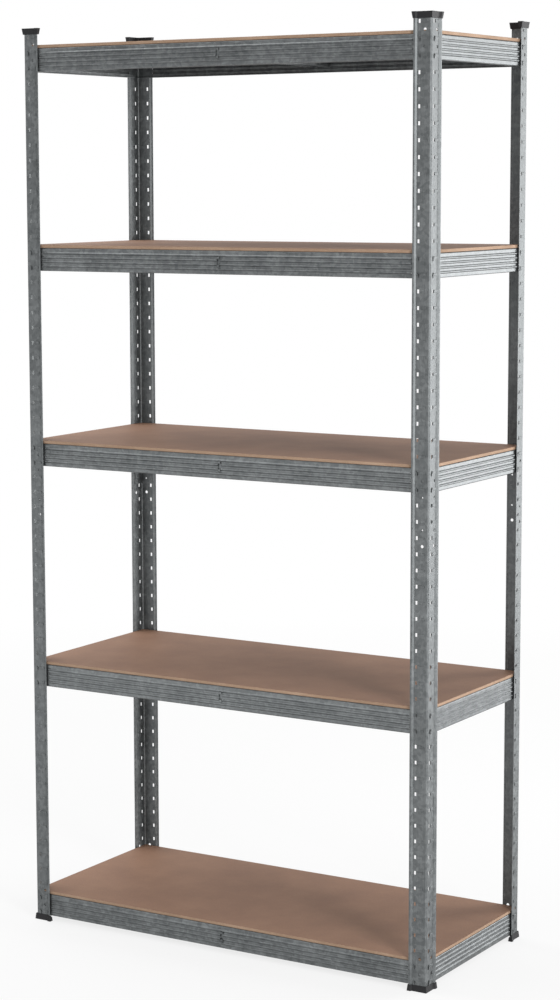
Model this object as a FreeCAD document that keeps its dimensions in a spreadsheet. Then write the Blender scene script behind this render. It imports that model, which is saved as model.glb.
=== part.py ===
"""Five-tier boltless steel shelving, as a parametric FreeCAD document.

Frame of the part: millimetres, +Z up, front of the rack towards -Y.  The origin is on the
floor, under the middle of the rack.

How the real rack goes together, and how the pieces here are named:

* four uprights, each of two punched steel angles end to end (post_lower_*, post_upper_*),
  held in line by an inner angle with collars (splice_*), on a plastic shoe (foot_*) and under
  a plastic cover (cap_*);
* five tiers of four ribbed beams (front_beam_*, rear_beam_*, left_beam_*, right_beam_*),
  whose hooked tabs drop into the slots of the uprights;
* on each tier a cross bar hooked into the two long beams (tie_bar_*) and a loose board.

All four uprights are the same pressing turned by quarter turns, and so are the beams.  Seen
from outside, each flange of an upright carries the same punching, measured from its left edge.
"""
import FreeCAD, Part
import os
import Sketcher

DOC = FreeCAD.newDocument("boltless_shelving")

# --------------------------------------------------------------------------- driving sizes
# (alias, value, what it is); lengths in millimetres
SIZES = (
    ("rack_width", 900, "over the flat faces of the uprights, left to right"),
    ("rack_depth", 400, "over the flat faces of the uprights, front to back"),
    ("half_post_length", 900, "length of one punched angle; two make an upright"),
    ("post_sheet", 1.0, "sheet of the uprights"),
    ("flange_width", 35, "flange of an upright, from its corner to its free edge"),
    ("corner_radius", 4, "outer bend of an upright"),
    ("rim_step", 3, "how far the stiffened rim stands out from the flange"),
    ("rim_width", 3.5, "flat part of the rim"),
    ("slot_pitch", 30, "height from one row of slots to the next"),
    ("first_slot", 15, "from the end of a half post to its first row of slots"),
    ("slot_width", 4, "slot, across"),
    ("slot_height", 7, "slot, up and down"),
    ("slot_from_left", 11, "middle of a slot from the left edge of its flange"),
    ("bar_from_left", 15, "start of the pressed bar beside a slot, from the left edge"),
    ("bar_length", 12, "pressed bar, across"),
    ("bar_height", 4, "pressed bar, up and down"),
    ("bar_rise", 0.6, "how far a pressed bar stands out"),
    ("hole_radius", 3, "round holes near the ends of a half post"),
    ("hole_from_left", 22, "round holes from the left edge of the flange"),
    ("hole_from_end", 30, "first round hole from the end of a half post"),
    ("hole_pitch", 30, "from the first round hole to the second"),
    ("fit_gap", 0.3, "clearance of pieces that lie against each other"),
    ("splice_sheet", 1.5, "sheet of the splice angle"),
    ("splice_width", 28, "flange of the splice, measured from the upright's corner"),
    ("splice_below", 40.5, "how far the splice reaches into the lower half post"),
    ("splice_above", 37, "how far the splice reaches into the upper half post"),
    ("collar_gap", 0.3, "clearance of a collar of the splice in its round hole"),
    ("collar_bore", 1.8, "radius of the hole through a collar"),
    ("window_gap", 0.5, "how much a window of the splice clears the slot before it"),
    ("cap_height", 12, "height of a cap"),
    ("cap_top", 2, "thickness of a cap's top"),
    ("cap_wall", 0.8, "wall of a cap at its lower edge"),
    ("cap_flare", 8, "slope of a cap's sides, in degrees"),
    ("foot_height", 12, "height of a foot outside the upright"),
    ("foot_inner_height", 8, "height of a foot inside the upright"),
    ("foot_sole", 3, "thickness of a foot under the upright"),
    ("foot_wall", 2.2, "wall of a foot at the floor"),
    ("foot_flare", 6, "slope of a foot's sides, in degrees"),
    ("beam_height", 45, "height of a beam"),
    ("beam_sheet", 1.0, "sheet of the beams"),
    ("beam_bend", 2.0, "outer bend of a beam"),
    ("beam_end_gap", 6, "from the face of the rack to the end of a beam"),
    ("ledge_width", 18, "top flange of a beam, which carries the board"),
    ("lip_width", 8, "bottom flange of a beam"),
    ("relief_gap", 2.5, "clearance of a short beam's flanges from the long beam's"),
    ("rib_pitch", 8.5, "from one rib of a beam to the next"),
    ("rib_count", 4, "ribs of a beam"),
    ("rib_height", 1.8, "how far a rib stands out"),
    ("rib_width", 5.0, "width of a rib at its foot"),
    ("rib_end_gap", 3, "from the edge of an upright to the end of a rib"),
    ("tab_rise", 7, "middle of a beam's lower slot above the bottom of the beam"),
    ("tab_sheet", 1.5, "thickness of a tab, across the slot"),
    ("tab_root", 4.5, "height of a tab where it passes through the slot"),
    ("tab_hook", 2.2, "how far a tab's nose hangs below the slot"),
    ("tab_nose", 1.3, "thickness of a tab's nose outside the upright"),
    ("tie_slot_width", 7, "slot for the tie bar in a long beam, across"),
    ("tie_slot_height", 22, "slot for the tie bar, up and down"),
    ("tie_slot_bottom", 13, "lower end of that slot above the bottom of the beam"),
    ("tie_width", 30, "width of a tie bar"),
    ("tie_bottom", 12, "lower edge of a tie bar above the bottom of the beams"),
    ("tie_sheet", 1.0, "sheet of the tie bars"),
    ("tie_gap", 0.5, "clearance of a tie bar from the beams' flanges"),
    ("prong_width", 5, "prong of a tie bar, across"),
    ("prong_height", 4, "prong of a tie bar, up and down"),
    ("prong_pitch", 15, "from the lower prong to the upper one"),
    ("prong_reach", 2, "how far a prong comes out of the beam"),
    ("board_thickness", 6.5, "board"),
    ("board_gap", 0.6, "from a board to the inside of the uprights"),
    ("board_corner", 4, "radius of a board's corners"),
    ("shelf_row_1", 0, "row of slots that takes the lower tabs of tier 1"),
    ("shelf_row_2", 16, "the same for tier 2"),
    ("shelf_row_3", 31, "the same for tier 3"),
    ("shelf_row_4", 44, "the same for tier 4"),
    ("shelf_row_5", 57, "the same for tier 5"),
)
TIERS = (1, 2, 3, 4, 5)

# name of a corner: (side of the rack in X, side in Y, quarter turns of the upright)
CORNERS = {
    "front_right": (1, -1, 0),
    "rear_right": (1, 1, 1),
    "rear_left": (-1, 1, 2),
    "front_left": (-1, -1, 3),
}
# name of a beam's side: (quarter turns, size along the beam, size across the rack)
SIDES = {
    "front": (0, "rack_width", "rack_depth"),
    "right": (1, "rack_depth", "rack_width"),
    "rear": (2, "rack_width", "rack_depth"),
    "left": (3, "rack_depth", "rack_width"),
}
LONG_SIDES = ("front", "rear")

X_AXIS = FreeCAD.Vector(1, 0, 0)
Z_AXIS = FreeCAD.Vector(0, 0, 1)
BEND = "tan(22.5deg)"  # mitre of a 45 degree bend, per millimetre of sheet
EDGE_TOLERANCE = 1e-4


# --------------------------------------------------------------------------- the sheet
def make_sheet(doc):
    """Write the driving sizes into a spreadsheet, one row each, with their aliases."""
    sheet = doc.addObject("Spreadsheet::Sheet", "Sizes")
    for row, (alias, value, note) in enumerate(SIZES, start=1):
        sheet.set(f"A{row}", alias)
        sheet.set(f"B{row}", str(value))
        sheet.set(f"C{row}", note)
        sheet.setAlias(f"B{row}", alias)
    doc.recompute()
    return sheet


SHEET = make_sheet(DOC)


def sized(text):
    """Expression with every word that is a driving size turned into a cell of the sheet."""
    names = {alias for alias, _value, _note in SIZES}
    out = ""
    word = ""
    for letter in text + " ":
        if letter.isalnum() or letter == "_":
            word += letter
            continue
        out += "Sizes." + word if word in names else word
        out += letter
        word = ""
    return out.strip()


def value_of(text):
    """Number that an expression over the driving sizes stands for now."""
    result = SHEET.evalExpression(sized(text))
    return float(getattr(result, "Value", result))


# --------------------------------------------------------------------------- helpers
def origin_feature(body, role):
    """Plane or axis of a body's own origin."""
    return next(item for item in body.Origin.OriginFeatures if item.Role == role)


def new_body(label):
    """Empty body of one named piece."""
    body = DOC.addObject("PartDesign::Body", label)
    body.Label = label
    return body


def place(piece, x, y, z, quarter_turns=0):
    """Put a piece at x, y, z (expressions), turned about +Z."""
    piece.Placement = FreeCAD.Placement(FreeCAD.Vector(), FreeCAD.Rotation(Z_AXIS, 90 * quarter_turns))
    for axis, text in (("x", x), ("y", y), ("z", z)):
        piece.setExpression(f"Placement.Base.{axis}", sized(text))


def new_sketch(body, name, role, offset="0"):
    """Sketch on one of the body's own planes, moved along its normal by an expression."""
    sketch = body.newObject("Sketcher::SketchObject", f"{body.Label}_{name}")
    sketch.AttachmentSupport = [(origin_feature(body, role), "")]
    sketch.MapMode = "FlatFace"
    if offset != "0":
        sketch.setExpression("AttachmentOffset.Base.z", sized(offset))
    return sketch


def pin(sketch, geometry, point, text, axis):
    """Hold one point of a sketch at an expression along x or y."""
    if text == "0":
        line = -2 if axis == "X" else -1
        sketch.addConstraint(Sketcher.Constraint("PointOnObject", geometry, point, line))
        return
    index = sketch.addConstraint(
        Sketcher.Constraint(f"Distance{axis}", -1, 1, geometry, point, value_of(text)))
    sketch.setExpression(f"Constraints[{index}]", sized(text))


def add_outline(sketch, corners):
    """Closed outline through corners, each a pair of expressions that also drive it."""
    points = [FreeCAD.Vector(value_of(x), value_of(y), 0) for x, y in corners]
    first = sketch.GeometryCount
    count = len(points)
    for here in range(count):
        sketch.addGeometry(Part.LineSegment(points[here], points[(here + 1) % count]))
    for here, (x, y) in enumerate(corners):
        after = first + (here + 1) % count
        sketch.addConstraint(Sketcher.Constraint("Coincident", first + here, 2, after, 1))
        pin(sketch, first + here, 1, x, "X")
        pin(sketch, first + here, 1, y, "Y")


def add_rectangle(sketch, x_low, x_high, y_low, y_high):
    """Upright rectangle between four expressions."""
    add_outline(sketch, ((x_low, y_low), (x_high, y_low), (x_high, y_high), (x_low, y_high)))


def add_circle(sketch, x, y, radius):
    """Circle whose middle and radius are expressions."""
    middle = FreeCAD.Vector(value_of(x), value_of(y), 0)
    index = sketch.addGeometry(Part.Circle(middle, Z_AXIS, value_of(radius)))
    pin(sketch, index, 3, x, "X")
    pin(sketch, index, 3, y, "Y")
    held = sketch.addConstraint(Sketcher.Constraint("Radius", index, value_of(radius)))
    sketch.setExpression(f"Constraints[{held}]", sized(radius))


def pad(body, sketch, length, both_ways=False, backwards=False, taper=None):
    """Solid on a sketch."""
    feature = body.newObject("PartDesign::Pad", f"{sketch.Name}_pad")
    feature.Profile = sketch
    feature.SideType = "Symmetric" if both_ways else "One side"
    feature.Reversed = backwards
    feature.setExpression("Length", sized(length))
    if taper:
        feature.setExpression("TaperAngle", sized(taper))
    return feature


def pocket(body, sketch, length=None, backwards=False):
    """Cut along a sketch: to a depth, or right through both ways when no length is given."""
    feature = body.newObject("PartDesign::Pocket", f"{sketch.Name}_cut")
    feature.Profile = sketch
    if length is None:
        feature.SideType = "Symmetric"
        feature.Type = "ThroughAll"
        return feature
    feature.SideType = "One side"
    feature.Reversed = backwards
    feature.setExpression("Length", sized(length))
    return feature


def repeat_upwards(body, features, spacing, count):
    """Row of copies of features along the body's Z axis."""
    row = body.newObject("PartDesign::LinearPattern", f"{features[0].Name}_row")
    row.Originals = features
    row.Direction = (origin_feature(body, "Z_Axis"), [""])
    row.Mode = "Spacing"
    row.setExpression("Offset", sized(spacing))
    row.setExpression("Occurrences", sized(count))
    body.Tip = row
    return row


def round_edges(body, spots, direction, radius):
    """Fillet on the straight edges along direction that pass through the spots."""
    DOC.recompute()
    base = body.Tip
    found = []
    for number, edge in enumerate(base.Shape.Edges, start=1):
        start, end = edge.Vertexes[0].Point, edge.Vertexes[-1].Point
        if start.isEqual(end, EDGE_TOLERANCE) or (end - start).cross(direction).Length > EDGE_TOLERANCE:
            continue
        for spot in spots:
            if (spot - start).cross(direction).Length < EDGE_TOLERANCE:
                found.append(f"Edge{number}")
    feature = body.newObject("PartDesign::Fillet", f"{base.Name}_bend")
    feature.Base = (base, found)
    feature.setExpression("Radius", sized(radius))
    return feature


# --------------------------------------------------------------------------- uprights
# An upright's own frame: its corner is the Z axis.  The first flange runs along -X in the
# plane y = 0, the second along +Y in the plane x = 0; metal lies on the +Y and -X side.
FLAT_END = "(flange_width - rim_width - rim_step)"
RIM_START = "(flange_width - rim_width)"
BAR_SIDE = "post_sheet / 2"  # from the side of a pressed bar to the side of its hollow


def mirrored(corners):
    """The same outline on the other flange: x and y swap, with both signs turned."""
    swapped = []
    for x, y in reversed(corners):
        swapped.append((f"-1 * ({y})" if y != "0" else "0", f"-1 * ({x})" if x != "0" else "0"))
    return swapped


def post_section():
    """Outline of the punched angle, with the stiffened rim at both free edges."""
    outside = [
        (f"-1 * {FLAT_END}", "0"),
        (f"-1 * {RIM_START}", "-1 * rim_step"),
        ("-1 * flange_width", "-1 * rim_step"),
    ]
    inside = [
        ("-1 * flange_width", "post_sheet - rim_step"),
        (f"-1 * {RIM_START} - post_sheet * {BEND}", "post_sheet - rim_step"),
        (f"-1 * {FLAT_END} - post_sheet * {BEND}", "post_sheet"),
    ]
    first_flange = outside + inside
    return [("0", "0")] + first_flange + [("-1 * post_sheet", "post_sheet")] + mirrored(first_flange)


# Distances from the corner of an upright to what is punched in its flanges.  The left edge
# of the first flange is its free edge, and the left edge of the second is the corner.
def on_flange(flange, from_left):
    """Coordinate in the flange's own plane of something measured from its left edge."""
    return f"{from_left} - flange_width" if flange == "first" else from_left


FLANGE_PLANE = {"first": "XZ_Plane", "second": "YZ_Plane"}


def punch_rows(body):
    """Slots through both flanges, and the bars pressed outwards beside them, repeated upwards."""
    rows = []
    for flange, plane in FLANGE_PLANE.items():
        slot = new_sketch(body, f"{flange}_slot", plane)
        middle = on_flange(flange, "slot_from_left")
        add_rectangle(slot, f"{middle} - slot_width / 2", f"{middle} + slot_width / 2",
                      "first_slot - slot_height / 2", "first_slot + slot_height / 2")
        rows.append(pocket(body, slot))

        bar = new_sketch(body, f"{flange}_bar", plane)
        start = on_flange(flange, "bar_from_left")
        add_rectangle(bar, start, f"{start} + bar_length",
                      "first_slot - bar_height / 2", "first_slot + bar_height / 2")
        # the outer face of each flange is its sketch plane, and the plane's normal points out
        rows.append(pad(body, bar, "bar_rise"))

        hollow = new_sketch(body, f"{flange}_hollow", plane, "bar_rise - post_sheet")
        add_rectangle(hollow, f"{start} + {BAR_SIDE}", f"{start} + bar_length - {BAR_SIDE}",
                      f"first_slot - bar_height / 2 + {BAR_SIDE}",
                      f"first_slot + bar_height / 2 - {BAR_SIDE}")
        rows.append(pocket(body, hollow, "bar_rise"))
    repeat_upwards(body, rows, "slot_pitch", "floor((half_post_length - first_slot) / slot_pitch) + 1")


def cut_round_holes(body):
    """Two round holes near each end of the half post, in both flanges."""
    heights = ("hole_from_end", "hole_from_end + hole_pitch",
               "half_post_length - hole_from_end", "half_post_length - hole_from_end - hole_pitch")
    for flange, plane in FLANGE_PLANE.items():
        sketch = new_sketch(body, f"{flange}_holes", plane)
        for height in heights:
            add_circle(sketch, on_flange(flange, "hole_from_left"), height, "hole_radius")
        pocket(body, sketch)


def make_half_post(label):
    """One punched angle, standing on its lower end."""
    body = new_body(label)
    section = new_sketch(body, "section", "XY_Plane")
    add_outline(section, post_section())
    pad(body, section, "half_post_length")
    round_edges(body, [FreeCAD.Vector()], Z_AXIS, "corner_radius")
    inner_corner = FreeCAD.Vector(-value_of("post_sheet"), value_of("post_sheet"), 0)
    round_edges(body, [inner_corner], Z_AXIS, "corner_radius - post_sheet")
    punch_rows(body)
    cut_round_holes(body)
    return body


def place_at_corner(piece, corner, height):
    """Stand a piece whose frame is an upright's on one corner of the rack."""
    side_x, side_y, quarter_turns = CORNERS[corner]
    place(piece, f"{side_x} * rack_width / 2", f"{side_y} * rack_depth / 2", height, quarter_turns)


# --------------------------------------------------------------------------- splice, cap, foot
def shoe_outline(gap):
    """Outline at a distance from all the faces of an upright, mitred at the rims.

    The inner corner is cut off, to clear the bend of the upright.
    """
    mitre = f"{gap} * {BEND}"
    far = f"(flange_width + {gap})"
    step = f"(rim_step + {gap})"
    inner = f"(post_sheet + {gap})"
    first_flange = [
        (f"{mitre} - {FLAT_END}", f"-1 * {gap}"),
        (f"{mitre} - {RIM_START}", f"-1 * {step}"),
        (f"-1 * {far}", f"-1 * {step}"),
        (f"-1 * {far}", inner),
        (f"-1 * ({inner} + corner_radius - post_sheet)", inner),
    ]
    return [(gap, f"-1 * {gap}")] + first_flange + mirrored(first_flange)


def make_splice(label):
    """Inner angle that keeps two half posts in line; z = 0 is where they meet."""
    body = new_body(label)
    near = "(post_sheet + fit_gap)"
    section = new_sketch(body, "section", "XY_Plane", "-1 * splice_below")
    add_outline(section, [
        (f"-1 * {near}", near), (f"-1 * {near}", "splice_width"),
        (f"-1 * ({near} + splice_sheet)", "splice_width"),
        (f"-1 * ({near} + splice_sheet)", f"{near} + splice_sheet"),
        ("-1 * splice_width", f"{near} + splice_sheet"), ("-1 * splice_width", near),
    ])
    pad(body, section, "splice_below + splice_above")
    corner = FreeCAD.Vector(-value_of(near), value_of(near), 0)
    round_edges(body, [corner], Z_AXIS, f"corner_radius - {near}")

    half_width = "(slot_width / 2 + window_gap)"
    half_height = "(slot_height / 2 + window_gap)"
    for flange, plane in FLANGE_PLANE.items():
        collars = new_sketch(body, f"{flange}_collars", plane)
        openings = new_sketch(body, f"{flange}_openings", plane)
        slot = on_flange(flange, "slot_from_left")
        hole = on_flange(flange, "hole_from_left")
        for side in (-1, 1):
            middle = f"{side} * first_slot"
            add_rectangle(openings, f"{slot} - {half_width}", f"{slot} + {half_width}",
                          f"{middle} - {half_height}", f"{middle} + {half_height}")
            add_circle(openings, hole, f"{side} * hole_from_end", "collar_bore")
            add_circle(collars, hole, f"{side} * hole_from_end", "hole_radius - collar_gap")
        pad(body, collars, f"{near} + splice_sheet / 2", backwards=True)
        pocket(body, openings)
    return body


def make_cap(label):
    """Cover pushed over the top of an upright; z = 0 is its lower edge."""
    body = new_body(label)
    shell = new_sketch(body, "shell", "XY_Plane")
    add_outline(shell, shoe_outline("(fit_gap + cap_wall)"))
    pad(body, shell, "cap_height", taper="cap_flare")
    hollow = new_sketch(body, "hollow", "XY_Plane")
    add_outline(hollow, shoe_outline("fit_gap"))
    pocket(body, hollow, "cap_height - cap_top", backwards=True)
    return body


def make_foot(label):
    """Shoe under an upright; z = 0 is the floor.

    The wall is low inside the angle, where the lowest beams end, and high outside it.
    """
    body = new_body(label)
    base = new_sketch(body, "base", "XY_Plane")
    add_outline(base, shoe_outline("(fit_gap + foot_wall)"))
    pad(body, base, "foot_height", taper="-1 * foot_flare")
    hollow = new_sketch(body, "hollow", "XY_Plane", "foot_sole")
    add_outline(hollow, shoe_outline("fit_gap"))
    pocket(body, hollow, "foot_height", backwards=True)

    inside = new_sketch(body, "inside", "XY_Plane", "foot_inner_height")
    middle = "post_sheet / 2"
    beyond = "(flange_width + 2 * foot_wall)"
    add_rectangle(inside, f"-1 * {beyond}", f"-1 * {middle}", middle, beyond)
    pocket(body, inside, "foot_height", backwards=True)
    return body


# --------------------------------------------------------------------------- beams
# A beam's own frame: the outer face of its web is the plane y = 0 with the rack's inside
# towards +Y, its length runs along X about the middle, and z = 0 is its lower edge.
INSET = "(post_sheet + fit_gap)"  # from the face of the rack to the web of a beam


def cut_flanges_back(body, span):
    """Shorten the ledge and the lip of a side beam, which meet the long beams' ones."""
    sketch = new_sketch(body, "relief", "XY_Plane")
    start = f"{span} / 2 - {INSET} - ledge_width - relief_gap"
    for side in (-1, 1):
        add_rectangle(sketch, f"{side} * ({start})", f"{side} * {span} / 2",
                      "beam_sheet", "ledge_width + relief_gap")
    pocket(body, sketch)


def add_ribs(body, span):
    """Rolled ribs between the uprights: raised outside, grooved inside."""
    length = f"{span} - 2 * (flange_width + rib_end_gap)"
    low = "(beam_height / 2 - (rib_count - 1) * rib_pitch / 2 - rib_width / 2)"
    high = f"({low} + rib_width)"
    rib = new_sketch(body, "rib", "YZ_Plane")
    add_outline(rib, [
        ("0", low), ("-1 * rib_height", f"{low} + rib_height"),
        ("-1 * rib_height", f"{high} - rib_height"), ("0", high),
    ])
    raised = pad(body, rib, length, both_ways=True)
    groove = new_sketch(body, "groove", "YZ_Plane")
    add_outline(groove, [
        ("beam_sheet", f"{low} + beam_sheet * {BEND}"),
        ("beam_sheet - rib_height", f"{low} + rib_height + beam_sheet * {BEND}"),
        ("beam_sheet - rib_height", f"{high} - rib_height - beam_sheet * {BEND}"),
        ("beam_sheet", f"{high} - beam_sheet * {BEND}"),
    ])
    hollow = body.newObject("PartDesign::Pocket", f"{groove.Name}_cut")
    hollow.Profile = groove
    hollow.SideType = "Symmetric"
    hollow.setExpression("Length", sized(length))
    repeat_upwards(body, [raised, hollow], "rib_pitch", "rib_count")


def add_tabs(body, span):
    """Two hooked tabs at each end, one above the other, which drop into the uprights' slots."""
    root_low = "(tab_rise - slot_height / 2)"
    clear = "(post_sheet + 2 * fit_gap)"
    nose = f"({clear} + tab_nose)"
    places = {
        "left": f"slot_from_left - {span} / 2",
        "right": f"{span} / 2 - (flange_width - slot_from_left)",
    }
    tabs = []
    for name, along in places.items():
        sketch = new_sketch(body, f"{name}_tab", "YZ_Plane", along)
        add_outline(sketch, [
            ("beam_sheet / 2", root_low), (f"-1 * {clear}", root_low),
            (f"-1 * {clear}", f"{root_low} - tab_hook"), (f"-1 * {nose}", f"{root_low} - tab_hook"),
            (f"-1 * {nose}", f"{root_low} + tab_root"), ("beam_sheet / 2", f"{root_low} + tab_root"),
        ])
        tabs.append(pad(body, sketch, "tab_sheet", both_ways=True))
    repeat_upwards(body, tabs, "slot_pitch", "2")


def make_beam(label, side):
    """Ribbed beam with a ledge for the board, for one side of the rack."""
    body = new_body(label)
    _quarter_turns, span, _across = SIDES[side]
    section = new_sketch(body, "section", "YZ_Plane")
    add_outline(section, [
        ("0", "0"), ("lip_width", "0"), ("lip_width", "beam_sheet"),
        ("beam_sheet", "beam_sheet"), ("beam_sheet", "beam_height - beam_sheet"),
        ("ledge_width", "beam_height - beam_sheet"), ("ledge_width", "beam_height"),
        ("0", "beam_height"),
    ])
    pad(body, section, f"{span} - 2 * beam_end_gap", both_ways=True)
    height, sheet = value_of("beam_height"), value_of("beam_sheet")
    outer = [FreeCAD.Vector(0, 0, 0), FreeCAD.Vector(0, 0, height)]
    round_edges(body, outer, X_AXIS, "beam_bend")
    inner = [FreeCAD.Vector(0, sheet, sheet), FreeCAD.Vector(0, sheet, height - sheet)]
    round_edges(body, inner, X_AXIS, "beam_bend - beam_sheet")
    add_ribs(body, span)
    add_tabs(body, span)
    if side in LONG_SIDES:
        slot = new_sketch(body, "tie_slot", "XZ_Plane")
        add_rectangle(slot, "-1 * tie_slot_width / 2", "tie_slot_width / 2",
                      "tie_slot_bottom", "tie_slot_bottom + tie_slot_height")
        pocket(body, slot)
    else:
        cut_flanges_back(body, span)
    return body


def tier_height(tier):
    """Lower edge of the beams of one tier."""
    return f"foot_sole + first_slot - tab_rise + slot_pitch * shelf_row_{tier}"


def place_beam(body, side, tier):
    """Hang a beam behind the flanges of its two uprights."""
    quarter_turns, _span, across = SIDES[side]
    reach = f"({across} / 2 - {INSET})"
    x, y = {0: ("0", f"-1 * {reach}"), 1: (reach, "0"),
            2: ("0", reach), 3: (f"-1 * {reach}", "0")}[quarter_turns]
    place(body, x, y, tier_height(tier), quarter_turns)


# --------------------------------------------------------------------------- tie bar, board
def make_tie_bar(label):
    """Cross bar under the middle of a board; z = 0 is the lower edge of the beams."""
    body = new_body(label)
    under_ledge = "(beam_height - beam_sheet - tie_gap)"
    web_to_web = f"(rack_depth - 2 * ({INSET} + beam_sheet + fit_gap))"
    block = new_sketch(body, "block", "XZ_Plane")
    add_rectangle(block, "-1 * tie_width / 2", "tie_width / 2", "tie_bottom", under_ledge)
    pad(body, block, web_to_web, both_ways=True)

    prongs = new_sketch(body, "prongs", "XZ_Plane")
    for side in (-1, 1):
        middle = f"tie_slot_bottom + tie_slot_height / 2 + {side} * prong_pitch / 2"
        add_rectangle(prongs, "-1 * prong_width / 2", "prong_width / 2",
                      f"{middle} - prong_height / 2", f"{middle} + prong_height / 2")
    pad(body, prongs, f"rack_depth - 2 * {INSET} + 2 * prong_reach", both_ways=True)

    inside = new_sketch(body, "inside", "XY_Plane")
    half_width = "(tie_width / 2 - tie_sheet)"
    half_length = f"({web_to_web} / 2 - tie_sheet)"
    add_rectangle(inside, f"-1 * {half_width}", half_width, f"-1 * {half_length}", half_length)
    pocket(body, inside)

    top = new_sketch(body, "top", "XZ_Plane")
    add_outline(top, [
        ("-1 * tie_width / 2", "tie_bottom"), (f"-1 * {half_width}", "tie_bottom"),
        (f"-1 * {half_width}", "beam_height - tie_sheet"), (half_width, "beam_height - tie_sheet"),
        (half_width, "tie_bottom"), ("tie_width / 2", "tie_bottom"),
        ("tie_width / 2", "beam_height"), ("-1 * tie_width / 2", "beam_height"),
    ])
    pad(body, top, f"rack_depth - 2 * ({INSET} + ledge_width + tie_gap)", both_ways=True)
    return body


def make_board(label):
    """Loose board that lies on the ledges of four beams; z = 0 is its lower face."""
    body = new_body(label)
    half_width = "(rack_width / 2 - post_sheet - board_gap)"
    half_depth = "(rack_depth / 2 - post_sheet - board_gap)"
    outline = new_sketch(body, "outline", "XY_Plane")
    add_rectangle(outline, f"-1 * {half_width}", half_width, f"-1 * {half_depth}", half_depth)
    pad(body, outline, "board_thickness")
    x, y = value_of(half_width), value_of(half_depth)
    corners = [FreeCAD.Vector(i * x, j * y, 0) for i in (-1, 1) for j in (-1, 1)]
    round_edges(body, corners, Z_AXIS, "board_corner")
    return body


# --------------------------------------------------------------------------- the rack
def build():
    """Make and place every piece; returns them in order."""
    pieces = []
    for corner in CORNERS:
        levels = {
            "post_lower": (make_half_post, "foot_sole"),
            "post_upper": (make_half_post, "foot_sole + half_post_length"),
            "splice": (make_splice, "foot_sole + half_post_length"),
            "foot": (make_foot, "0"),
            "cap": (make_cap, "foot_sole + 2 * half_post_length + cap_top - cap_height"),
        }
        for name, (maker, height) in levels.items():
            piece = maker(f"{name}_{corner}")
            place_at_corner(piece, corner, height)
            pieces.append(piece)
    for tier in TIERS:
        for side in SIDES:
            beam = make_beam(f"{side}_beam_{tier}", side)
            place_beam(beam, side, tier)
            pieces.append(beam)
        tie_bar = make_tie_bar(f"tie_bar_{tier}")
        place(tie_bar, "0", "0", tier_height(tier))
        board = make_board(f"board_{tier}")
        place(board, "0", "0", f"{tier_height(tier)} + beam_height")
        pieces += [tie_bar, board]
    DOC.recompute()
    return pieces


def check(pieces):
    """Stop if any object failed, any cut took nothing away, or any piece isn't one solid."""
    for item in DOC.Objects:
        if "Invalid" in item.State or "Error" in item.State:
            raise RuntimeError(f"{item.Label}: {item.State}")
        if item.TypeId == "PartDesign::Pocket":
            before = item.BaseFeature.Shape.Volume
            if item.Shape.Volume >= before - EDGE_TOLERANCE:
                raise RuntimeError(f"{item.Label} cuts nothing")
    for piece in pieces:
        shape = piece.Shape
        if shape.isNull() or not shape.isValid() or len(shape.Solids) != 1:
            raise RuntimeError(f"{piece.Label}: not one valid solid")


def write(pieces):
    """One STEP file per piece, named after it."""
    os.makedirs("parts", exist_ok=True)
    for piece in pieces:
        piece.Shape.exportStep(f"parts/{piece.Label}.step")


RACK = build()
check(RACK)
write(RACK)
print(f"{len(RACK)} pieces, {sum(piece.Shape.Volume for piece in RACK):.0f} mm3")
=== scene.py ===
"""Boltless steel shelving: finishes, pressed bars, moulded plastic, boards and studio."""

import logging
import math
from dataclasses import dataclass, field
from enum import Enum
from typing import Any, Iterable, Sequence

import bmesh
import bpy
from mathutils import Matrix, Vector


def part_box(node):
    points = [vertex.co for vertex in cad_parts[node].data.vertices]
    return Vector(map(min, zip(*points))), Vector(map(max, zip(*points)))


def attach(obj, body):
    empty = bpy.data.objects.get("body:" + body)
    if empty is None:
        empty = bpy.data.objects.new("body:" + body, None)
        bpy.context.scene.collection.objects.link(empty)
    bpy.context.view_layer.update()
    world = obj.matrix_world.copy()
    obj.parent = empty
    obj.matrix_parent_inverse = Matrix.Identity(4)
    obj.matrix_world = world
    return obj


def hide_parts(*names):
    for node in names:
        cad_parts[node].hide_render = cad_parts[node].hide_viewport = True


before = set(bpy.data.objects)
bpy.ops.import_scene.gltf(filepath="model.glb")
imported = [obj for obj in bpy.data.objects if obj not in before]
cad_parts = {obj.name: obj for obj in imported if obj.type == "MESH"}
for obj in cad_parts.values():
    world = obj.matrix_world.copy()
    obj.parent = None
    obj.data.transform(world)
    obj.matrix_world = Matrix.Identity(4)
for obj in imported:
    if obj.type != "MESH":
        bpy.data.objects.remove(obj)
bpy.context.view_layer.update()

LOG = logging.getLogger("shelving")
MM = 0.001
BODY = "frame"
CORNER_STEPS = 4
BEVEL = {"segments": 2, "profile": 0.5, "affect": "EDGES", "material": -1}


# ------------------------------------------------------------------ small tools
def linear(hex_colour: str) -> tuple[float, float, float, float]:
    """Linear colour of an sRGB hex value.

    Args:
        hex_colour: six hex digits, such as "8c9296".

    Returns:
        Red, green, blue and an alpha of 1.
    """
    parts = [int(hex_colour[i:i + 2], 16) / 255 for i in (0, 2, 4)]
    red, green, blue = (
        c / 12.92 if c <= 0.04045 else ((c + 0.055) / 1.055) ** 2.4 for c in parts)
    return red, green, blue, 1.0


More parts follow.
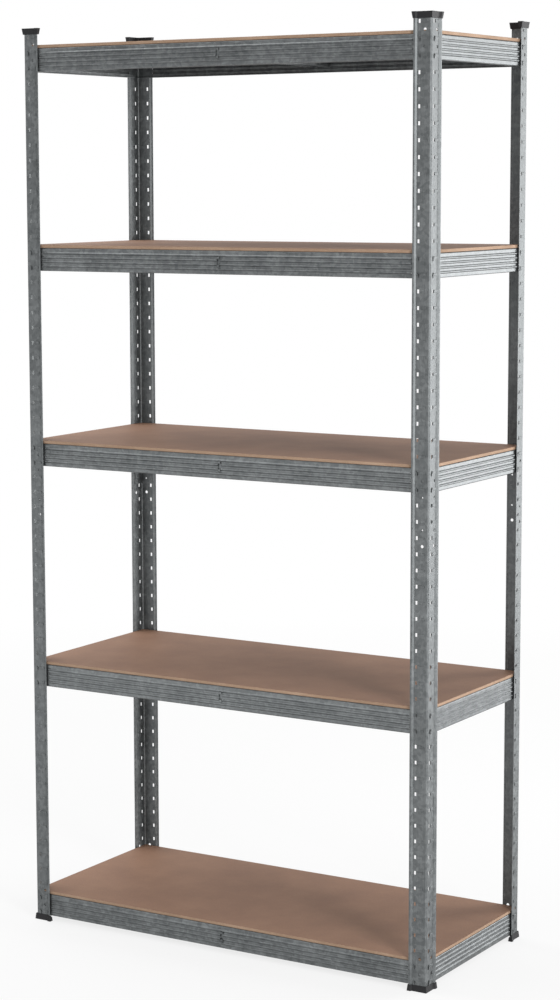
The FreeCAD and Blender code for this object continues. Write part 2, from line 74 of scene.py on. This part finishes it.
def add_node(
    tree: bpy.types.NodeTree,
    kind: str,
    inputs: dict[Any, Any] | None = None,
    **settings: Any,
) -> bpy.types.Node:
    """Adds a node to a tree with its settings and links.

    Args:
        tree: the tree that gets the node.
        kind: the node's type name.
        inputs: input name or number to a value, or to the socket that feeds it.
        **settings: the node's own properties.

    Returns:
        The new node.
    """
    node = tree.nodes.new(kind)
    for name, value in settings.items():
        setattr(node, name, value)
    for key, value in (inputs or {}).items():
        if isinstance(value, bpy.types.NodeSocket):
            tree.links.new(value, node.inputs[key])
        else:
            node.inputs[key].default_value = value
    return node


def new_material(name: str) -> tuple[bpy.types.Material, bpy.types.NodeTree]:
    """A material with an empty node tree.

    Args:
        name: what the real finish is called.

    Returns:
        The material and its tree.
    """
    material = bpy.data.materials.new(name)
    material.use_nodes = True
    material.node_tree.nodes.clear()
    return material, material.node_tree


def new_object(name: str, data: bpy.types.ID) -> bpy.types.Object:
    """Puts a mesh, a lamp or a camera into the scene.

    Args:
        name: what to call the object.
        data: what it shows.

    Returns:
        The object.
    """
    item = bpy.data.objects.new(name, data)
    bpy.context.scene.collection.objects.link(item)
    return item


def dress(item: bpy.types.Object, material: bpy.types.Material) -> None:
    """Gives an object one material in all its slots.

    Args:
        item: the object.
        material: its finish.
    """
    if not item.material_slots:
        item.data.materials.append(material)
    for slot in item.material_slots:
        slot.material = material


# ------------------------------------------------------------------ parts of a finish
def add_noise(
    tree: bpy.types.NodeTree,
    place: bpy.types.NodeSocket,
    size_mm: float,
    detail: float,
    roughness: float = 0.5,
) -> bpy.types.NodeSocket:
    """Adds soft random patches.

    Args:
        tree: the tree that gets them.
        place: the position that they are laid out by.
        size_mm: about how wide a patch is.
        detail: how many times finer patches are laid over them.
        roughness: how strong the finer ones are.

    Returns:
        The factor's socket.
    """
    return add_node(tree, "ShaderNodeTexNoise", {
        "Vector": place, "Scale": 1 / (size_mm * MM), "Detail": detail,
        "Roughness": roughness}).outputs["Fac"]


def add_blend(
    tree: bpy.types.NodeTree,
    share: float,
    first: bpy.types.NodeSocket,
    second: bpy.types.NodeSocket,
) -> bpy.types.NodeSocket:
    """Adds a blend of two factors.

    Args:
        tree: the tree that gets the blend.
        share: how much of the second there is in it.
        first: one factor.
        second: the other.

    Returns:
        The blended factor's socket.
    """
    return add_node(tree, "ShaderNodeMix", {
        "Factor": share, "A": first, "B": second}).outputs["Result"]


def add_ramp(
    tree: bpy.types.NodeTree,
    factor: bpy.types.NodeSocket,
    ends: tuple[float, float],
    colours: Sequence[str],
) -> bpy.types.NodeSocket:
    """Adds a ramp through evenly spaced colours.

    Args:
        tree: the tree that gets the ramp.
        factor: what runs along it.
        ends: where its first and its last colour lie.
        colours: two or more sRGB hex values.

    Returns:
        The colour's socket.
    """
    ramp = add_node(tree, "ShaderNodeValToRGB", {"Fac": factor})
    stops = ramp.color_ramp.elements
    stops[0].position, stops[1].position = ends
    stops[0].color, stops[1].color = linear(colours[0]), linear(colours[-1])
    step = (ends[1] - ends[0]) / (len(colours) - 1)
    for count, colour in enumerate(colours[1:-1], 1):
        stops.new(ends[0] + count * step).color = linear(colour)
    return ramp.outputs["Color"]


def add_surface(
    tree: bpy.types.NodeTree,
    height: bpy.types.NodeSocket,
    relief: tuple[float, float],
    inputs: dict[str, Any],
) -> None:
    """Adds an uneven surface and sends it to the material's output.

    Args:
        tree: the material's tree.
        height: the factor that says how high the surface stands.
        relief: how strongly that shows, and how deep it is in mm.
        inputs: the surface's other inputs.
    """
    strength, depth_mm = relief
    bump = add_node(tree, "ShaderNodeBump", {
        "Height": height, "Strength": strength, "Distance": depth_mm * MM})
    shader = add_node(tree, "ShaderNodeBsdfPrincipled", {
        **inputs, "Normal": bump.outputs["Normal"]})
    add_node(tree, "ShaderNodeOutputMaterial", {"Surface": shader.outputs["BSDF"]})


# ------------------------------------------------------------------ finishes
class Grain(Enum):
    """Which way the rolling marks of a steel piece run."""

    UPRIGHT = (1.0, 1.0, 0.12)
    ALONG_WIDTH = (0.12, 1.0, 1.0)
    ALONG_DEPTH = (1.0, 0.12, 1.0)


@dataclass(frozen=True)
class GalvanisedSteel:
    """Hot-dip galvanised cold-rolled sheet.

    Zinc gives the eye a dull grey metal, mottled by its crystals, with fine marks along the
    way it was rolled and a paler bloom where it has begun to weather.  The real marks are
    finer than a millimetre, and are drawn coarser so that they show.
    """

    dark: str = "4e5152"
    mid: str = "646768"
    pale: str = "7c7f80"
    spangle_mm: float = 6.0
    bloom_mm: float = 45.0
    mark_mm: float = 2.5
    crystal_share: float = 0.3
    mark_share: float = 0.4
    shade_ends: tuple[float, float] = (0.3, 0.7)
    roughness: float = 0.4
    smoother: float = 0.07
    rougher: float = 0.1
    metallic: float = 0.8
    relief: tuple[float, float] = (0.1, 0.3)

    def make(self, grain: Grain) -> bpy.types.Material:
        """The material for one direction of rolling.

        Args:
            grain: which way the rolling marks run.

        Returns:
            The material.
        """
        way = grain.name.lower().replace("_", " ")
        material, tree = new_material(f"hot-dip galvanised steel, rolled {way}")
        place = add_node(tree, "ShaderNodeTexCoord").outputs["Object"]
        crystals = add_node(tree, "ShaderNodeTexVoronoi", {
            "Vector": place, "Scale": 1 / (self.spangle_mm * MM)})
        shade = add_node(tree, "ShaderNodeSeparateColor", {
            "Color": crystals.outputs["Color"]}).outputs["Red"]
        bloom = add_noise(tree, place, self.bloom_mm, detail=6.0, roughness=0.6)
        rolled = add_node(tree, "ShaderNodeMapping", {
            "Vector": place, "Scale": grain.value}).outputs["Vector"]
        marks = add_noise(tree, rolled, self.mark_mm, detail=3.0, roughness=0.7)
        mottled = add_blend(tree, self.crystal_share, bloom, shade)
        mixed = add_blend(tree, self.mark_share, mottled, marks)
        darkest, palest = self.shade_ends
        dull = add_node(tree, "ShaderNodeMapRange", {
            "Value": mixed, "From Min": darkest, "From Max": palest,
            "To Min": self.roughness - self.smoother,
            "To Max": self.roughness + self.rougher}).outputs["Result"]
        add_surface(tree, mixed, self.relief, {
            "Base Color": add_ramp(tree, mixed, self.shade_ends, (self.dark, self.mid, self.pale)),
            "Metallic": self.metallic, "Roughness": dull})
        return material


class BoardFace(Enum):
    """The three kinds of surface of a hardboard panel: name, colours and roughness."""

    SMOOTH = ("pressed face", "846553", "8c6c58", "94735e", 0.65)
    SAWN = ("sawn edge", "8e7561", "9b816c", "a88e79", 0.85)
    SCREENED = ("screened back", "4a382e", "574338", "644f42", 0.9)


@dataclass(frozen=True)
class Hardboard:
    """Wet-pressed hardboard.

    Brown wood fibre: pressed smooth on top, with a faint cloud of lighter and darker fibre
    and a slight sheen at low angles; paler and furry at its sawn edges; and dull below,
    printed with the weave of the screen that it was pressed on.
    """

    fibre_mm: float = 3.0
    cloud_mm: float = 80.0
    weave_mm: float = 2.4
    weave_turn: float = math.radians(45)
    fibre_share: float = 0.4
    shade_ends: tuple[float, float] = (0.35, 0.65)
    sheen: float = 0.3
    relief: tuple[float, float] = (0.15, 0.2)

    def make(self, face: BoardFace) -> bpy.types.Material:
        """The material of one kind of surface.

        Args:
            face: which surface of the board.

        Returns:
            The material.
        """
        name, dark, mid, pale, roughness = face.value
        material, tree = new_material(f"hardboard, {name}")
        place = add_node(tree, "ShaderNodeTexCoord").outputs["Object"]
        cloud = add_noise(tree, place, self.cloud_mm, detail=5.0, roughness=0.55)
        fibre = add_noise(tree, place, self.fibre_mm, detail=2.0, roughness=0.7)
        mixed = add_blend(tree, self.fibre_share, cloud, fibre)
        height = fibre
        if face is BoardFace.SCREENED:
            turned = add_node(tree, "ShaderNodeMapping", {
                "Vector": place, "Rotation": (0.0, 0.0, self.weave_turn)}).outputs["Vector"]
            height = add_node(tree, "ShaderNodeTexChecker", {
                "Vector": turned, "Scale": 1 / (self.weave_mm * MM)}).outputs["Fac"]
        add_surface(tree, height, self.relief, {
            "Base Color": add_ramp(tree, mixed, self.shade_ends, (dark, mid, pale)),
            "Roughness": roughness, "Specular IOR Level": self.sheen})
        return material


@dataclass(frozen=True)
class BlackPolyethylene:
    """Injection-moulded black polyethylene.

    Nearly black with a low waxy sheen, and a fine spark-eroded texture off the mould, which
    is drawn coarser than the real tenth of a millimetre so that it shows.
    """

    dark: str = "111113"
    pale: str = "1c1c1e"
    texture_mm: float = 0.8
    shade_ends: tuple[float, float] = (0.35, 0.7)
    roughness: float = 0.6
    sheen: float = 0.3
    relief: tuple[float, float] = (0.3, 0.05)

    def make(self) -> bpy.types.Material:
        """The material of caps and feet.

        Returns:
            The material.
        """
        material, tree = new_material("moulded black polyethylene")
        place = add_node(tree, "ShaderNodeTexCoord").outputs["Object"]
        grain = add_noise(tree, place, self.texture_mm, detail=2.0)
        add_surface(tree, grain, self.relief, {
            "Base Color": add_ramp(tree, grain, self.shade_ends, (self.dark, self.pale)),
            "Roughness": self.roughness, "Specular IOR Level": self.sheen})
        return material


# ------------------------------------------------------------------ geometry trees
@dataclass
class GeometryTree:
    """A Geometry Nodes tree with named inputs, which makes a mesh from nothing."""

    name: str
    inputs: dict[str, str]
    weld: float = 0.01 * MM
    tree: bpy.types.NodeTree = field(init=False)
    sockets: dict[str, bpy.types.NodeSocket] = field(init=False)

    def __post_init__(self) -> None:
        """Makes the tree with its inputs and a geometry output."""
        self.tree = bpy.data.node_groups.new(self.name, "GeometryNodeTree")
        for name, kind in self.inputs.items():
            self.tree.interface.new_socket(name, in_out="INPUT", socket_type=kind)
        self.tree.interface.new_socket(
            "Geometry", in_out="OUTPUT", socket_type="NodeSocketGeometry")
        group_in = self.tree.nodes.new("NodeGroupInput")
        self.sockets = {name: group_in.outputs[name] for name in self.inputs}

    def rounded_plate(
        self,
        width: bpy.types.NodeSocket,
        depth: bpy.types.NodeSocket,
        corner: bpy.types.NodeSocket,
    ) -> bpy.types.NodeSocket:
        """Adds a flat rectangle with round corners, as one face that looks up.

        Args:
            width: its size in X.
            depth: its size in Y.
            corner: the radius of its corners.

        Returns:
            The mesh socket.
        """
        outline = add_node(self.tree, "GeometryNodeCurvePrimitiveQuadrilateral", {
            "Width": width, "Height": depth})
        rounded = add_node(self.tree, "GeometryNodeFilletCurve", {
            "Curve": outline.outputs["Curve"], "Radius": corner,
            "Count": CORNER_STEPS}, mode="POLY")
        flat = add_node(self.tree, "GeometryNodeFillCurve", {
            "Curve": rounded.outputs["Curve"]}, mode="NGONS")
        return flat.outputs["Mesh"]

    def closed(
        self, shell: bpy.types.NodeSocket, flat: bpy.types.NodeSocket,
    ) -> bpy.types.NodeSocket:
        """Closes a shell underneath with the flat face that it was raised from.

        Args:
            shell: the raised faces.
            flat: the face that they were raised from.

        Returns:
            The closed solid's socket.
        """
        under = add_node(self.tree, "GeometryNodeFlipFaces", {"Mesh": flat})
        joined = add_node(self.tree, "GeometryNodeJoinGeometry", {"Geometry": shell})
        self.tree.links.new(under.outputs["Mesh"], joined.inputs["Geometry"])
        welded = add_node(self.tree, "GeometryNodeMergeByDistance", {
            "Geometry": joined.outputs["Geometry"], "Distance": self.weld})
        return welded.outputs["Geometry"]

    def end(
        self,
        geometry: bpy.types.NodeSocket,
        finishes: Sequence[tuple[bpy.types.NodeSocket, bpy.types.NodeSocket | bool]],
    ) -> None:
        """Makes a geometry real, dresses it and sends it to the output.

        Args:
            geometry: what the tree has made.
            finishes: pairs of a material socket and the faces that take it.
        """
        last = add_node(self.tree, "GeometryNodeRealizeInstances", {"Geometry": geometry})
        for finish, faces in finishes:
            last = add_node(self.tree, "GeometryNodeSetMaterial", {
                "Geometry": last.outputs["Geometry"], "Selection": faces, "Material": finish})
        add_node(self.tree, "NodeGroupOutput", {"Geometry": last.outputs["Geometry"]})

    def run(self, name: str, values: dict[str, Any]) -> bpy.types.Mesh:
        """The plain mesh that the tree makes from a set of values.

        Args:
            name: what to call the mesh.
            values: input name to value.

        Returns:
            The mesh, with nothing live left on it.
        """
        carrier = new_object(name, bpy.data.meshes.new(name))
        modifier = carrier.modifiers.new(self.name, "NODES")
        modifier.node_group = self.tree
        for socket in self.tree.interface.items_tree:
            if socket.in_out == "INPUT":
                modifier[socket.identifier] = values[socket.name]
        evaluated = carrier.evaluated_get(bpy.context.evaluated_depsgraph_get())
        mesh = bpy.data.meshes.new_from_object(evaluated)
        mesh.name = name
        carrier.modifiers.clear()
        bpy.data.objects.remove(carrier)
        return mesh


def add_piece(
    name: str, mesh: bpy.types.Mesh, body: str, replaced: str | None = None,
) -> None:
    """Makes a finished mesh a piece of the rack.

    Args:
        name: the piece's name.
        mesh: its mesh, in place.
        body: the body that it rides on.
        replaced: the solid that it stands for, if any.
    """
    item = new_object(name, mesh)
    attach(item, body)
    if replaced:
        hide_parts(replaced)
    LOG.info("%s: %d faces", name, len(mesh.polygons))


# ------------------------------------------------------------------ the rack
@dataclass
class SteelWork:
    """Uprights, splices, beams and cross bars: their solids carry the shape."""

    upright: GalvanisedSteel = field(default_factory=lambda: GalvanisedSteel(roughness=0.52))
    beam: GalvanisedSteel = field(default_factory=GalvanisedSteel)

    def grain_of(self, name: str) -> Grain:
        """Which way a piece was rolled, from what it is.

        Args:
            name: the piece's name.

        Returns:
            The direction of its rolling marks.
        """
        if name.startswith(("front_beam", "rear_beam")):
            return Grain.ALONG_WIDTH
        if name.startswith(("left_beam", "right_beam", "tie_bar")):
            return Grain.ALONG_DEPTH
        return Grain.UPRIGHT

    def build(self) -> None:
        """Dresses every steel piece."""
        made = {way: self.beam.make(way) for way in (Grain.ALONG_WIDTH, Grain.ALONG_DEPTH)}
        made[Grain.UPRIGHT] = self.upright.make(Grain.UPRIGHT)
        for name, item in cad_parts.items():
            if "beam" in name or name.startswith(("post_", "splice_", "tie_bar")):
                dress(item, made[self.grain_of(name)])
                LOG.info("%s: galvanised steel", name)
        PressedBars(made[Grain.UPRIGHT]).build()


@dataclass
class PressedBars:
    """The rounded fronts of the bars pressed outwards beside the slots of the uprights."""

    finish: bpy.types.Material
    pitch: float = 30 * MM
    rows: int = 60
    first_row: float = 18 * MM
    from_left: float = 21 * MM
    length: float = 13 * MM
    height: float = 5 * MM
    corner: float = 1.6 * MM
    rise: float = 0.65 * MM
    crown: float = 0.2 * MM
    crown_share: float = 0.8
    flange: float = 35 * MM
    width: float = 900 * MM
    depth: float = 400 * MM

    def make_tree(self) -> GeometryTree:
        """One rounded bar with a crown, repeated up the flange.

        Returns:
            The tree.
        """
        made = GeometryTree("pressed bars", {
            "Rows": "NodeSocketInt", "Pitch": "NodeSocketFloat", "Length": "NodeSocketFloat",
            "Height": "NodeSocketFloat", "Corner": "NodeSocketFloat", "Rise": "NodeSocketFloat",
            "Crown": "NodeSocketFloat", "Finish": "NodeSocketMaterial"})
        tree, sockets = made.tree, made.sockets
        flat = made.rounded_plate(sockets["Length"], sockets["Height"], sockets["Corner"])
        side = add_node(tree, "ShaderNodeCombineXYZ", {"Z": sockets["Rise"]}).outputs["Vector"]
        block = add_node(tree, "GeometryNodeExtrudeMesh", {
            "Mesh": flat, "Offset": side, "Individual": False})
        crown = add_node(tree, "ShaderNodeCombineXYZ", {"Z": sockets["Crown"]}).outputs["Vector"]
        raised = add_node(tree, "GeometryNodeExtrudeMesh", {
            "Mesh": block.outputs["Mesh"], "Selection": block.outputs["Top"], "Offset": crown,
            "Individual": False})
        narrowed = add_node(tree, "GeometryNodeScaleElements", {
            "Geometry": raised.outputs["Mesh"], "Selection": raised.outputs["Top"],
            "Scale": self.crown_share})
        upright = add_node(tree, "GeometryNodeTransform", {
            "Geometry": made.closed(narrowed.outputs["Geometry"], flat),
            "Rotation": (math.radians(90), 0.0, 0.0)})
        rise = add_node(tree, "ShaderNodeCombineXYZ", {"Z": sockets["Pitch"]}).outputs["Vector"]
        rows = add_node(tree, "GeometryNodeMeshLine", {"Count": sockets["Rows"], "Offset": rise})
        copies = add_node(tree, "GeometryNodeInstanceOnPoints", {
            "Points": rows.outputs["Mesh"], "Instance": upright.outputs["Geometry"]})
        made.end(copies.outputs["Instances"], [(sockets["Finish"], True)])
        return made

    def places(self) -> Iterable[Matrix]:
        """Where the row stands on each of the eight flanges, facing outwards.

        Returns:
            The placements, one for each flange.
        """
        corners = ((1, -1, 0), (1, 1, 90), (-1, 1, 180), (-1, -1, 270))
        flanges = ((self.from_left - self.flange, 0.0, 0), (0.0, self.from_left, 90))
        for side_x, side_y, turn in corners:
            corner = Matrix.Translation((side_x * self.width / 2, side_y * self.depth / 2, 0))
            upright = corner @ Matrix.Rotation(math.radians(turn), 4, "Z")
            for along, across, flange_turn in flanges:
                row = Matrix.Translation((along, across, self.first_row))
                yield upright @ row @ Matrix.Rotation(math.radians(flange_turn), 4, "Z")

    def build(self) -> None:
        """Adds one piece that holds the bars of all the uprights."""
        row = self.make_tree().run("pressed_bar_row", {
            "Rows": self.rows, "Pitch": self.pitch, "Length": self.length, "Height": self.height,
            "Corner": self.corner, "Rise": self.rise, "Crown": self.crown, "Finish": self.finish})
        whole = bmesh.new()
        for place in self.places():
            copy = row.copy()
            copy.transform(place)
            whole.from_mesh(copy)
            bpy.data.meshes.remove(copy)
        mesh = bpy.data.meshes.new("pressed_bars")
        whole.to_mesh(mesh)
        whole.free()
        mesh.materials.append(self.finish)
        bpy.data.meshes.remove(row)
        add_piece("pressed_bars", mesh, BODY)


@dataclass
class PlasticShoes:
    """Caps and feet, with the rounded edges of a moulding."""

    edge: float = 0.35 * MM
    weld: float = 0.001 * MM
    flat_angle: float = math.radians(1)
    sharp_angle: float = math.radians(30)
    finish: BlackPolyethylene = field(default_factory=BlackPolyethylene)

    def soften(
        self, name: str, solid: bpy.types.Object, material: bpy.types.Material,
    ) -> None:
        """Replaces one solid by a copy with rounded edges.

        Args:
            name: the solid's name.
            solid: its object.
            material: the finish.
        """
        shape = bmesh.new()
        shape.from_mesh(solid.data)
        bmesh.ops.remove_doubles(shape, verts=shape.verts, dist=self.weld)
        bmesh.ops.dissolve_limit(
            shape, angle_limit=self.flat_angle, verts=shape.verts, edges=shape.edges)
        sharp = [e for e in shape.edges
                 if len(e.link_faces) == 2 and e.calc_face_angle() > self.sharp_angle]
        bmesh.ops.bevel(shape, geom=sharp, offset=self.edge, clamp_overlap=True, **BEVEL)
        mesh = bpy.data.meshes.new(f"{name}_moulding")
        shape.to_mesh(mesh)
        shape.free()
        mesh.materials.append(material)
        add_piece(f"{name}_moulding", mesh, BODY, name)

    def build(self) -> None:
        """Makes the caps and feet."""
        material = self.finish.make()
        for name, solid in list(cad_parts.items()):
            if name.startswith(("cap_", "foot_")):
                self.soften(name, solid, material)


@dataclass
class Boards:
    """The loose boards: round corners, eased edges and three kinds of surface."""

    corner: float = 4 * MM
    upper_ease: float = 0.5 * MM
    lower_ease: float = 2.2 * MM
    facing: float = 0.5
    finish: Hardboard = field(default_factory=Hardboard)

    def make_tree(self) -> GeometryTree:
        """An outline with round corners, filled, thickened and dressed by facing.

        Returns:
            The tree.
        """
        made = GeometryTree("hardboard panel", {
            "Width": "NodeSocketFloat", "Depth": "NodeSocketFloat", "Thickness": "NodeSocketFloat",
            "Corner": "NodeSocketFloat", "Face": "NodeSocketMaterial", "Edge": "NodeSocketMaterial",
            "Back": "NodeSocketMaterial"})
        tree, sockets = made.tree, made.sockets
        flat = made.rounded_plate(sockets["Width"], sockets["Depth"], sockets["Corner"])
        rise = add_node(tree, "ShaderNodeCombineXYZ", {"Z": sockets["Thickness"]}).outputs["Vector"]
        raised = add_node(tree, "GeometryNodeExtrudeMesh", {
            "Mesh": flat, "Offset": rise, "Individual": False})
        panel = made.closed(raised.outputs["Mesh"], flat)
        facing = add_node(tree, "GeometryNodeInputNormal").outputs["Normal"]
        height = add_node(tree, "ShaderNodeSeparateXYZ", {"Vector": facing}).outputs["Z"]
        upward = add_node(tree, "ShaderNodeMath", {
            0: height, 1: self.facing}, operation="GREATER_THAN").outputs["Value"]
        downward = add_node(tree, "ShaderNodeMath", {
            0: height, 1: -self.facing}, operation="LESS_THAN").outputs["Value"]
        made.end(panel, [
            (sockets["Edge"], True), (sockets["Face"], upward), (sockets["Back"], downward)])
        return made

    def ease_edges(self, mesh: bpy.types.Mesh) -> None:
        """Rounds the upper rim a little, and the lower rim more, where the saw breaks out.

        Args:
            mesh: the board, changed in place.
        """
        shape = bmesh.new()
        shape.from_mesh(mesh)
        middle = sum(vert.co.z for vert in shape.verts) / len(shape.verts)
        for above, ease in ((True, self.upper_ease), (False, self.lower_ease)):
            rim = [e for e in shape.edges if e.calc_length() > 0 and len(e.link_faces) == 2
                   and abs(e.link_faces[0].normal.z - e.link_faces[1].normal.z) > self.facing
                   and (e.verts[0].co.z > middle) == above]
            bmesh.ops.bevel(shape, geom=rim, offset=ease, **BEVEL)
            shape.normal_update()
        shape.to_mesh(mesh)
        shape.free()

    def build(self) -> None:
        """Replaces each board's solid by a finished board."""
        tree = self.make_tree()
        finishes = {face: self.finish.make(face) for face in BoardFace}
        for name in [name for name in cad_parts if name.startswith("board_")]:
            low, high = (Vector(corner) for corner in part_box(name))
            size = high - low
            mesh = tree.run(f"{name}_panel", {
                "Width": size.x, "Depth": size.y, "Thickness": size.z, "Corner": self.corner,
                "Face": finishes[BoardFace.SMOOTH], "Edge": finishes[BoardFace.SAWN],
                "Back": finishes[BoardFace.SCREENED]})
            self.ease_edges(mesh)
            mesh.transform(Matrix.Translation((
                (low.x + high.x) / 2, (low.y + high.y) / 2, low.z)))
            add_piece(f"{name}_panel", mesh, name, name)


# ------------------------------------------------------------------ studio
@dataclass(frozen=True)
class Softbox:
    """A rectangular studio lamp that points at a spot; places and sizes are in metres."""

    name: str
    place: tuple[float, float, float]
    aim: tuple[float, float, float]
    size: tuple[float, float]
    watts: float

    def build(self) -> None:
        """Adds the lamp."""
        lamp = bpy.data.lights.new(self.name, "AREA")
        lamp.shape = "RECTANGLE"
        lamp.size, lamp.size_y = self.size
        lamp.energy = self.watts
        item = new_object(self.name, lamp)
        item.location = self.place
        way = Vector(self.aim) - Vector(self.place)
        item.rotation_euler = way.to_track_quat("-Z", "Y").to_euler()


def shows_background(tree: bpy.types.NodeTree) -> bpy.types.NodeSocket:
    """Adds a factor that is 1 for rays that show the background, and 0 for those that light.

    Args:
        tree: the node tree it goes into.

    Returns:
        The factor's socket.
    """
    path = add_node(tree, "ShaderNodeLightPath").outputs
    bounced = add_node(tree, "ShaderNodeMath", {
        0: path["Is Glossy Ray"], 1: path["Is Transmission Ray"]}, operation="MAXIMUM")
    shown = add_node(tree, "ShaderNodeMath", {
        0: path["Is Camera Ray"], 1: bounced.outputs["Value"]}, operation="MAXIMUM")
    return shown.outputs["Value"]


@dataclass
class Studio:
    """Floor, lamps, world and camera: angles in degrees, lengths in metres."""

    azimuth: float = 31.99
    pitch: float = 7.54
    roll: float = -0.26
    distance: float = 4.860
    aim_across: float = -0.08575
    aim_height: float = 0.87758
    lens_in_heights: float = 2.445
    shift: float = 0.05
    sensor_mm: float = 36.0
    sight: float = 100.0
    floor_half: float = 30.0
    floor_near: float = 0.8
    floor_far: float = 3.5
    near_white: float = 0.8
    room: float = 0.5
    lamps: tuple[Softbox, ...] = (
        Softbox("overhead", (-1.5, 0.1, 3.6), (0.0, 0.0, 0.9), (2.4, 2.4), 66.0),
        Softbox("right_rear", (2.2, 2.4, 1.1), (0.0, 0.0, 0.9), (2.0, 2.2), 82.0),
        Softbox("right_front", (3.6, -2.2, 1.5), (0.0, 0.0, 0.9), (1.0, 2.6), 130.0),
        Softbox("low_left", (-1.7, -2.7, 0.15), (0.0, 0.0, 0.0), (2.4, 0.3), 10.0),
    )

    def add_camera(self) -> None:
        """Puts the camera in front of the rack, to its right, at a standing eye's height."""
        azimuth, pitch, roll = (math.radians(a) for a in (self.azimuth, self.pitch, self.roll))
        ahead = Vector((
            -math.sin(azimuth) * math.cos(pitch), math.cos(azimuth) * math.cos(pitch),
            -math.sin(pitch)))
        level = Vector((math.cos(azimuth), math.sin(azimuth), 0.0))
        upward = level.cross(ahead)
        right = math.cos(roll) * level + math.sin(roll) * upward
        above = -math.sin(roll) * level + math.cos(roll) * upward
        target = Vector((0.0, 0.0, self.aim_height)) + self.aim_across * level
        data = bpy.data.cameras.new("camera")
        data.sensor_fit = "AUTO"
        data.sensor_width = self.sensor_mm
        data.lens = self.lens_in_heights * self.sensor_mm
        data.shift_x = self.shift
        data.clip_end = self.sight
        item = new_object("camera", data)
        turn = Matrix((right, above, -ahead)).transposed().to_4x4()
        item.matrix_world = Matrix.Translation(target - self.distance * ahead) @ turn
        bpy.context.scene.camera = item

    def add_floor(self) -> None:
        """Adds a pale floor that keeps the rack's shadow and is near white to the camera."""
        mesh = bpy.data.meshes.new("floor")
        corners = ((-1, -1), (1, -1), (1, 1), (-1, 1))
        mesh.from_pydata([(x * self.floor_half, y * self.floor_half, 0.0) for x, y in corners],
                         [], [(0, 1, 2, 3)])
        item = new_object("floor", mesh)
        material, tree = new_material("painted studio floor")
        paint = add_node(tree, "ShaderNodeBsdfDiffuse", {"Color": linear("e6e6e6")})
        glow = add_node(tree, "ShaderNodeEmission", {"Color": linear("ffffff"), "Strength": 1.0})
        place = add_node(tree, "ShaderNodeTexCoord").outputs["Object"]
        away = add_node(tree, "ShaderNodeVectorMath", {0: place}, operation="LENGTH")
        white = add_node(tree, "ShaderNodeMapRange", {
            "Value": away.outputs["Value"], "From Min": self.floor_near,
            "From Max": self.floor_far, "To Min": self.near_white, "To Max": 1.0})
        share = add_node(tree, "ShaderNodeMath", {
            0: shows_background(tree), 1: white.outputs["Result"]}, operation="MULTIPLY")
        mixed = add_node(tree, "ShaderNodeMixShader", {
            "Fac": share.outputs["Value"], 1: paint.outputs["BSDF"], 2: glow.outputs["Emission"]})
        add_node(tree, "ShaderNodeOutputMaterial", {"Surface": mixed.outputs["Shader"]})
        dress(item, material)

    def add_world(self) -> None:
        """Makes the surroundings white to the camera and a plain grey to the rack."""
        world = bpy.data.worlds.new("studio")
        world.use_nodes = True
        tree = world.node_tree
        tree.nodes.clear()
        room, white = (
            add_node(tree, "ShaderNodeBackground", {
                "Color": linear("ffffff"), "Strength": strength})
            for strength in (self.room, 1.0))
        mixed = add_node(tree, "ShaderNodeMixShader", {
            "Fac": shows_background(tree), 1: room.outputs["Background"],
            2: white.outputs["Background"]})
        add_node(tree, "ShaderNodeOutputWorld", {"Surface": mixed.outputs["Shader"]})
        bpy.context.scene.world = world

    def build(self) -> None:
        """Sets up the studio."""
        self.add_camera()
        self.add_floor()
        self.add_world()
        for lamp in self.lamps:
            lamp.build()
        bpy.context.scene.view_settings.view_transform = "Standard"
        LOG.info("studio: camera, floor and %d lamps", len(self.lamps))


def main() -> None:
    """Builds the rack's finishes and pieces in order."""
    logging.basicConfig(level=logging.INFO, format="%(message)s")
    for part in (Studio(), SteelWork(), PlasticShoes(), Boards()):
        part.build()


if __name__ == "__main__":
    main()
